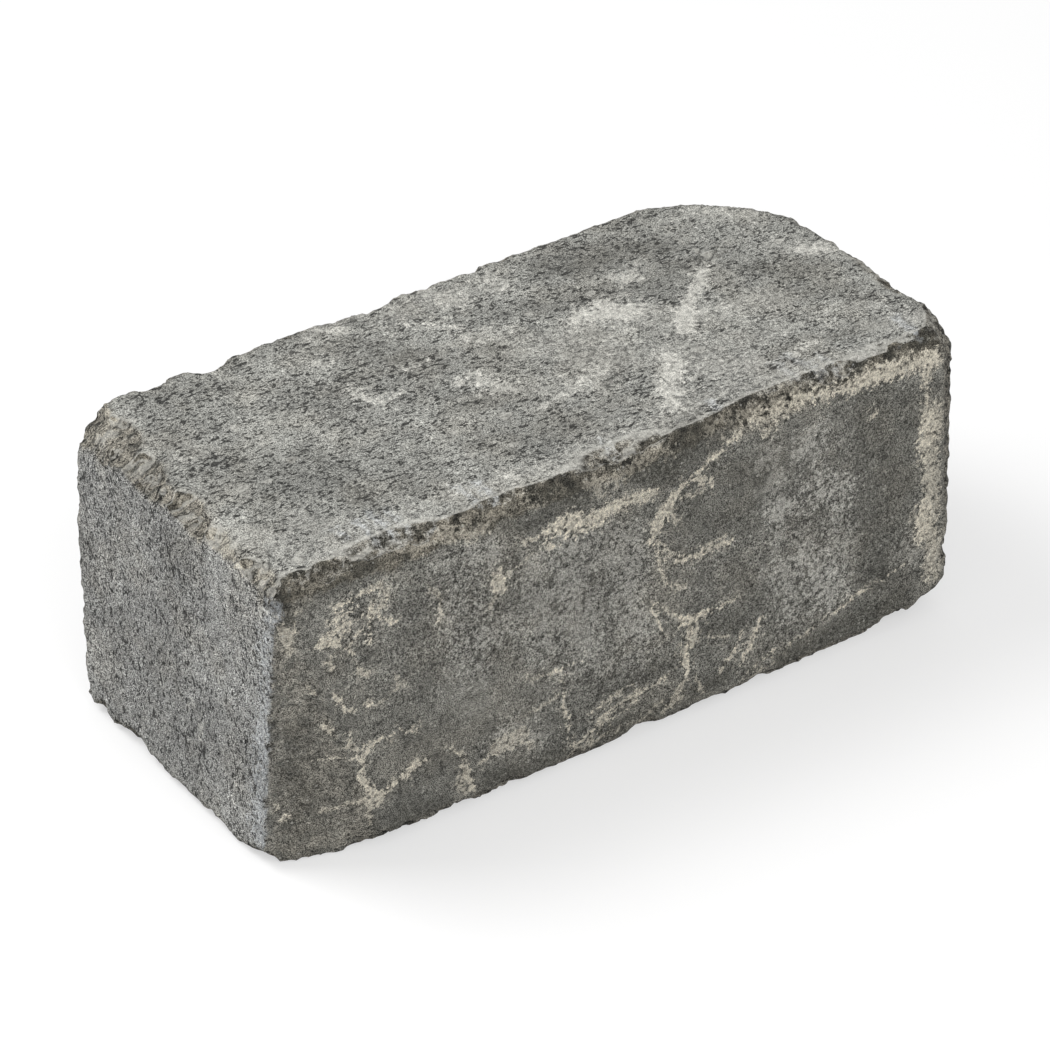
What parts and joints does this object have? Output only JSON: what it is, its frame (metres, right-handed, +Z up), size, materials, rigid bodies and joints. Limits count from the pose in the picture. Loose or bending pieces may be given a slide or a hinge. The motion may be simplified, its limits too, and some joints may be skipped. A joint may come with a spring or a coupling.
{
  "type": "garden wall block",
  "caption": "Tumbled concrete block for a dry-laid garden wall: one solid box with worn, chipped arrises and rounded corners.",
  "frame": {"origin": "centre of the bed face that the block lies on", "axes": "+X along the block's length, +Y from its front face to its back, +Z up"},
  "size_m": [0.3, 0.137, 0.127],
  "materials": {
    "concrete": "charcoal pressed concrete, rough and open-pored, tumbled, with pale lime scuffs"
  },
  "bodies": {
    "root": {"wall_block": "concrete"}
  },
  "joints": []
}
